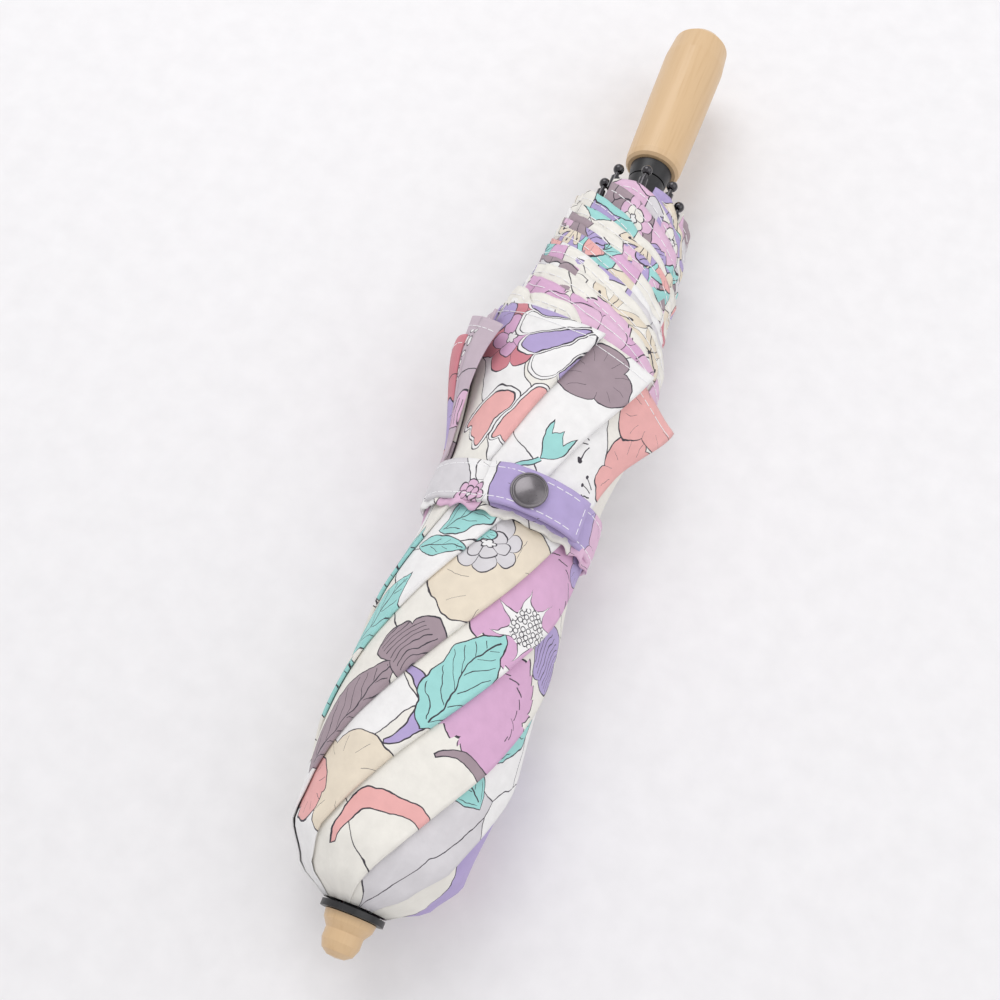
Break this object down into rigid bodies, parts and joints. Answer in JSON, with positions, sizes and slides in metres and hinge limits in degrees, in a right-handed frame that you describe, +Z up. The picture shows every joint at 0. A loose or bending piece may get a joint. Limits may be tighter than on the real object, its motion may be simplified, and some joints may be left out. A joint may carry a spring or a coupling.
{
  "type": "folding umbrella",
  "caption": "Folding umbrella, furled and strapped, with a printed cloth canopy, telescopic shaft, folding ribs and turned wooden handle.",
  "frame": {"origin": "middle of the whole umbrella, on the surface it lies on", "axes": "+Y along the shaft towards the handle, +Z up"},
  "size_m": [0.066, 0.346, 0.0517],
  "materials": {
    "cloth": "printed plain-weave cotton",
    "strap_cloth": "printed plain-weave cotton, top-stitched",
    "gunmetal": "dark nickel plate",
    "black_metal": "satin black enamel",
    "black_plastic": "satin moulded",
    "steel": "bright spring steel",
    "wood": "oiled, fine grain"
  },
  "bodies": {
    "canopy_stem": {"top_tube": "black_metal", "crown_notch": "black_plastic", "notch_wire": "steel", "ferrule": "wood", "crown_disc": "black_plastic", "catch_spring": "steel", "canopy": "cloth", "strap_wrap": "strap_cloth", "snap_stud": "gunmetal"},
    "middle_section": {"middle_tube": "black_metal"},
    "handle_section": {"lower_tube": "black_metal", "handle": "wood", "handle_collar": "black_plastic"},
    "runner_section": {"runner": "black_plastic", "runner_wire": "steel"},
    "catch_button": {"catch": "steel"},
    "strap_end": {"strap_tail": "strap_cloth", "snap_socket": "gunmetal"},
    "top_rib_1": {"top_rib_1": "black_metal"},
    "stretcher_1": {"stretcher_1": "black_metal"},
    "middle_rib_1": {"middle_rib_1": "black_metal"},
    "outer_rib_1": {"outer_rib_1": "black_metal", "rib_tip_1": "gunmetal"},
    "top_rib_2": {"top_rib_2": "black_metal"},
    "stretcher_2": {"stretcher_2": "black_metal"},
    "middle_rib_2": {"middle_rib_2": "black_metal"},
    "outer_rib_2": {"outer_rib_2": "black_metal", "rib_tip_2": "gunmetal"},
    "top_rib_3": {"top_rib_3": "black_metal"},
    "stretcher_3": {"stretcher_3": "black_metal"},
    "middle_rib_3": {"middle_rib_3": "black_metal"},
    "outer_rib_3": {"outer_rib_3": "black_metal", "rib_tip_3": "gunmetal"},
    "top_rib_4": {"top_rib_4": "black_metal"},
    "stretcher_4": {"stretcher_4": "black_metal"},
    "middle_rib_4": {"middle_rib_4": "black_metal"},
    "outer_rib_4": {"outer_rib_4": "black_metal", "rib_tip_4": "gunmetal"},
    "top_rib_5": {"top_rib_5": "black_metal"},
    "stretcher_5": {"stretcher_5": "black_metal"},
    "middle_rib_5": {"middle_rib_5": "black_metal"},
    "outer_rib_5": {"outer_rib_5": "black_metal", "rib_tip_5": "gunmetal"},
    "top_rib_6": {"top_rib_6": "black_metal"},
    "stretcher_6": {"stretcher_6": "black_metal"},
    "middle_rib_6": {"middle_rib_6": "black_metal"},
    "outer_rib_6": {"outer_rib_6": "black_metal", "rib_tip_6": "gunmetal"},
    "top_rib_7": {"top_rib_7": "black_metal"},
    "stretcher_7": {"stretcher_7": "black_metal"},
    "middle_rib_7": {"middle_rib_7": "black_metal"},
    "outer_rib_7": {"outer_rib_7": "black_metal", "rib_tip_7": "gunmetal"},
    "top_rib_8": {"top_rib_8": "black_metal"},
    "stretcher_8": {"stretcher_8": "black_metal"},
    "middle_rib_8": {"middle_rib_8": "black_metal"},
    "outer_rib_8": {"outer_rib_8": "black_metal", "rib_tip_8": "gunmetal"}
  },
  "joints": [
    {"name": "middle_tube_slide", "type": "slide", "parent": "canopy_stem", "child": "middle_section", "axis": [0, 1, 0], "range_m": [0, 0.19]},
    {"name": "lower_tube_slide", "type": "slide", "parent": "middle_section", "child": "handle_section", "axis": [0, 1, 0], "range_m": [0, 0.19]},
    {"name": "runner_slide", "type": "slide", "parent": "canopy_stem", "child": "runner_section", "axis": [0, -1, 0], "range_m": [0, 0.15842], "deforming": ["canopy", "strap_wrap", "strap_tail", "snap_socket", "snap_stud"]},
    {"name": "catch_press", "type": "slide", "parent": "canopy_stem", "child": "catch_button", "axis": [0, 0, -1], "range_m": [0, 0.001], "stiffness_N_per_m": 200},
    {"name": "strap_lift", "type": "hinge", "parent": "canopy_stem", "child": "strap_end", "pos_m": [-0.013, -0.034, 0.04775], "axis": [0, -1, 0], "range_deg": [0, 120]},
    {"name": "top_rib_swing_1", "type": "hinge", "parent": "canopy_stem", "child": "top_rib_1", "pos_m": [0, -0.149, 0.0314], "axis": [1, 0, 0], "range_deg": [0, 78.16]},
    {"name": "stretcher_swing_1", "type": "hinge", "parent": "top_rib_1", "child": "stretcher_1", "pos_m": [0, -0.049, 0.0314], "axis": [1, 0, 0], "range_deg": [-156.31, 0]},
    {"name": "middle_rib_fold_1", "type": "hinge", "parent": "top_rib_1", "child": "middle_rib_1", "pos_m": [0, 0.063, 0.0345], "axis": [1, 0, 0], "range_deg": [-190.38, 0]},
    {"name": "outer_rib_fold_1", "type": "hinge", "parent": "middle_rib_1", "child": "outer_rib_1", "pos_m": [0, -0.127, 0.0365], "axis": [1, 0, 0], "range_deg": [0, 168.34]},
    {"name": "top_rib_swing_2", "type": "hinge", "parent": "canopy_stem", "child": "top_rib_2", "pos_m": [0.00537, -0.149, 0.02917], "axis": [0.7071, 0, -0.7071], "range_deg": [0, 78.16]},
    {"name": "stretcher_swing_2", "type": "hinge", "parent": "top_rib_2", "child": "stretcher_2", "pos_m": [0.00537, -0.049, 0.02917], "axis": [0.7071, 0, -0.7071], "range_deg": [-156.31, 0]},
    {"name": "middle_rib_fold_2", "type": "hinge", "parent": "top_rib_2", "child": "middle_rib_2", "pos_m": [0.00757, 0.063, 0.03137], "axis": [0.7071, 0, -0.7071], "range_deg": [-190.38, 0]},
    {"name": "outer_rib_fold_2", "type": "hinge", "parent": "middle_rib_2", "child": "outer_rib_2", "pos_m": [0.00898, -0.127, 0.03278], "axis": [0.7071, 0, -0.7071], "range_deg": [0, 168.34]},
    {"name": "top_rib_swing_3", "type": "hinge", "parent": "canopy_stem", "child": "top_rib_3", "pos_m": [0.0076, -0.149, 0.0238], "axis": [0, 0, -1], "range_deg": [0, 78.16]},
    {"name": "stretcher_swing_3", "type": "hinge", "parent": "top_rib_3", "child": "stretcher_3", "pos_m": [0.0076, -0.049, 0.0238], "axis": [0, 0, -1], "range_deg": [-156.31, 0]},
    {"name": "middle_rib_fold_3", "type": "hinge", "parent": "top_rib_3", "child": "middle_rib_3", "pos_m": [0.0107, 0.063, 0.0238], "axis": [0, 0, -1], "range_deg": [-190.38, 0]},
    {"name": "outer_rib_fold_3", "type": "hinge", "parent": "middle_rib_3", "child": "outer_rib_3", "pos_m": [0.0127, -0.127, 0.0238], "axis": [0, 0, -1], "range_deg": [0, 168.34]},
    {"name": "top_rib_swing_4", "type": "hinge", "parent": "canopy_stem", "child": "top_rib_4", "pos_m": [0.00537, -0.149, 0.01843], "axis": [-0.7071, 0, -0.7071], "range_deg": [0, 78.16]},
    {"name": "stretcher_swing_4", "type": "hinge", "parent": "top_rib_4", "child": "stretcher_4", "pos_m": [0.00537, -0.049, 0.01843], "axis": [-0.7071, 0, -0.7071], "range_deg": [-156.31, 0]},
    {"name": "middle_rib_fold_4", "type": "hinge", "parent": "top_rib_4", "child": "middle_rib_4", "pos_m": [0.00757, 0.063, 0.01623], "axis": [-0.7071, 0, -0.7071], "range_deg": [-190.38, 0]},
    {"name": "outer_rib_fold_4", "type": "hinge", "parent": "middle_rib_4", "child": "outer_rib_4", "pos_m": [0.00898, -0.127, 0.01482], "axis": [-0.7071, 0, -0.7071], "range_deg": [0, 168.34]},
    {"name": "top_rib_swing_5", "type": "hinge", "parent": "canopy_stem", "child": "top_rib_5", "pos_m": [0, -0.149, 0.0162], "axis": [-1, 0, 0], "range_deg": [0, 78.16]},
    {"name": "stretcher_swing_5", "type": "hinge", "parent": "top_rib_5", "child": "stretcher_5", "pos_m": [0, -0.049, 0.0162], "axis": [-1, 0, 0], "range_deg": [-156.31, 0]},
    {"name": "middle_rib_fold_5", "type": "hinge", "parent": "top_rib_5", "child": "middle_rib_5", "pos_m": [0, 0.063, 0.0131], "axis": [-1, 0, 0], "range_deg": [-190.38, 0]},
    {"name": "outer_rib_fold_5", "type": "hinge", "parent": "middle_rib_5", "child": "outer_rib_5", "pos_m": [0, -0.127, 0.0111], "axis": [-1, 0, 0], "range_deg": [0, 168.34]},
    {"name": "top_rib_swing_6", "type": "hinge", "parent": "canopy_stem", "child": "top_rib_6", "pos_m": [-0.00537, -0.149, 0.01843], "axis": [-0.7071, 0, 0.7071], "range_deg": [0, 78.16]},
    {"name": "stretcher_swing_6", "type": "hinge", "parent": "top_rib_6", "child": "stretcher_6", "pos_m": [-0.00537, -0.049, 0.01843], "axis": [-0.7071, 0, 0.7071], "range_deg": [-156.31, 0]},
    {"name": "middle_rib_fold_6", "type": "hinge", "parent": "top_rib_6", "child": "middle_rib_6", "pos_m": [-0.00757, 0.063, 0.01623], "axis": [-0.7071, 0, 0.7071], "range_deg": [-190.38, 0]},
    {"name": "outer_rib_fold_6", "type": "hinge", "parent": "middle_rib_6", "child": "outer_rib_6", "pos_m": [-0.00898, -0.127, 0.01482], "axis": [-0.7071, 0, 0.7071], "range_deg": [0, 168.34]},
    {"name": "top_rib_swing_7", "type": "hinge", "parent": "canopy_stem", "child": "top_rib_7", "pos_m": [-0.0076, -0.149, 0.0238], "axis": [0, 0, 1], "range_deg": [0, 78.16]},
    {"name": "stretcher_swing_7", "type": "hinge", "parent": "top_rib_7", "child": "stretcher_7", "pos_m": [-0.0076, -0.049, 0.0238], "axis": [0, 0, 1], "range_deg": [-156.31, 0]},
    {"name": "middle_rib_fold_7", "type": "hinge", "parent": "top_rib_7", "child": "middle_rib_7", "pos_m": [-0.0107, 0.063, 0.0238], "axis": [0, 0, 1], "range_deg": [-190.38, 0]},
    {"name": "outer_rib_fold_7", "type": "hinge", "parent": "middle_rib_7", "child": "outer_rib_7", "pos_m": [-0.0127, -0.127, 0.0238], "axis": [0, 0, 1], "range_deg": [0, 168.34]},
    {"name": "top_rib_swing_8", "type": "hinge", "parent": "canopy_stem", "child": "top_rib_8", "pos_m": [-0.00537, -0.149, 0.02917], "axis": [0.7071, 0, 0.7071], "range_deg": [0, 78.16]},
    {"name": "stretcher_swing_8", "type": "hinge", "parent": "top_rib_8", "child": "stretcher_8", "pos_m": [-0.00537, -0.049, 0.02917], "axis": [0.7071, 0, 0.7071], "range_deg": [-156.31, 0]},
    {"name": "middle_rib_fold_8", "type": "hinge", "parent": "top_rib_8", "child": "middle_rib_8", "pos_m": [-0.00757, 0.063, 0.03137], "axis": [0.7071, 0, 0.7071], "range_deg": [-190.38, 0]},
    {"name": "outer_rib_fold_8", "type": "hinge", "parent": "middle_rib_8", "child": "outer_rib_8", "pos_m": [-0.00898, -0.127, 0.03278], "axis": [0.7071, 0, 0.7071], "range_deg": [0, 168.34]}
  ],
  "couplings": [
    {"joint": "top_rib_swing_1", "follows": "runner_slide", "rad_per_m": 8.5933},
    {"joint": "stretcher_swing_1", "follows": "runner_slide", "rad_per_m": -17.187},
    {"joint": "middle_rib_fold_1", "follows": "runner_slide", "rad_per_m": -20.932},
    {"joint": "outer_rib_fold_1", "follows": "runner_slide", "rad_per_m": 18.509},
    {"joint": "top_rib_swing_2", "follows": "runner_slide", "rad_per_m": 8.5933},
    {"joint": "stretcher_swing_2", "follows": "runner_slide", "rad_per_m": -17.187},
    {"joint": "middle_rib_fold_2", "follows": "runner_slide", "rad_per_m": -20.932},
    {"joint": "outer_rib_fold_2", "follows": "runner_slide", "rad_per_m": 18.509},
    {"joint": "top_rib_swing_3", "follows": "runner_slide", "rad_per_m": 8.5933},
    {"joint": "stretcher_swing_3", "follows": "runner_slide", "rad_per_m": -17.187},
    {"joint": "middle_rib_fold_3", "follows": "runner_slide", "rad_per_m": -20.932},
    {"joint": "outer_rib_fold_3", "follows": "runner_slide", "rad_per_m": 18.509},
    {"joint": "top_rib_swing_4", "follows": "runner_slide", "rad_per_m": 8.5933},
    {"joint": "stretcher_swing_4", "follows": "runner_slide", "rad_per_m": -17.187},
    {"joint": "middle_rib_fold_4", "follows": "runner_slide", "rad_per_m": -20.932},
    {"joint": "outer_rib_fold_4", "follows": "runner_slide", "rad_per_m": 18.509},
    {"joint": "top_rib_swing_5", "follows": "runner_slide", "rad_per_m": 8.5933},
    {"joint": "stretcher_swing_5", "follows": "runner_slide", "rad_per_m": -17.187},
    {"joint": "middle_rib_fold_5", "follows": "runner_slide", "rad_per_m": -20.932},
    {"joint": "outer_rib_fold_5", "follows": "runner_slide", "rad_per_m": 18.509},
    {"joint": "top_rib_swing_6", "follows": "runner_slide", "rad_per_m": 8.5933},
    {"joint": "stretcher_swing_6", "follows": "runner_slide", "rad_per_m": -17.187},
    {"joint": "middle_rib_fold_6", "follows": "runner_slide", "rad_per_m": -20.932},
    {"joint": "outer_rib_fold_6", "follows": "runner_slide", "rad_per_m": 18.509},
    {"joint": "top_rib_swing_7", "follows": "runner_slide", "rad_per_m": 8.5933},
    {"joint": "stretcher_swing_7", "follows": "runner_slide", "rad_per_m": -17.187},
    {"joint": "middle_rib_fold_7", "follows": "runner_slide", "rad_per_m": -20.932},
    {"joint": "outer_rib_fold_7", "follows": "runner_slide", "rad_per_m": 18.509},
    {"joint": "top_rib_swing_8", "follows": "runner_slide", "rad_per_m": 8.5933},
    {"joint": "stretcher_swing_8", "follows": "runner_slide", "rad_per_m": -17.187},
    {"joint": "middle_rib_fold_8", "follows": "runner_slide", "rad_per_m": -20.932},
    {"joint": "outer_rib_fold_8", "follows": "runner_slide", "rad_per_m": 18.509}
  ]
}
